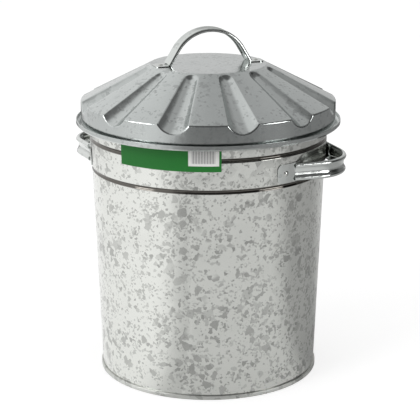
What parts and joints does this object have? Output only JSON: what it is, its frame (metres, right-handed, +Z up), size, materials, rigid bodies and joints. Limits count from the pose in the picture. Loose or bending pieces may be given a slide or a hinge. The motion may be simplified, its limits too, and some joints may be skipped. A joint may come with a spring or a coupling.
{
  "type": "galvanized trash can with lid",
  "caption": "Small round galvanized sheet-steel trash can with a loose fluted lid, ribbed strap handles on wall and lid, and a plain paper label.",
  "frame": {"origin": "centre of the base ring, on the floor", "axes": "+Z up along the can's axis; +X through the middle of the right side handle; +Y away from the paper label"},
  "size_m": [0.3268, 0.3022, 0.4],
  "materials": {
    "galvanized_wall": "spangled hot-dip zinc, satin",
    "galvanized_floor": "spangled hot-dip zinc, satin",
    "galvanized_lid": "dull zinc, satin",
    "galvanized_strap": "bright zinc",
    "wire": "plain drawn wire",
    "rivet": "zinc",
    "label_paper": "printed paper with a satin varnish"
  },
  "bodies": {
    "can": {"can_wall": "galvanized_wall", "can_floor": "galvanized_floor", "rim_wire": "wire", "side_handle_right": "galvanized_strap", "side_handle_left": "galvanized_strap", "side_handle_rivets_right": "rivet", "side_handle_rivets_left": "rivet", "label": "label_paper"},
    "lid": {"lid_shell": "galvanized_lid", "lid_handle": "galvanized_strap", "lid_handle_rivets": "rivet"}
  },
  "joints": [
    {"name": "lid_lift", "type": "slide", "parent": "can", "child": "lid", "axis": [0, 0, 1], "range_m": [0, 0.2]}
  ]
}
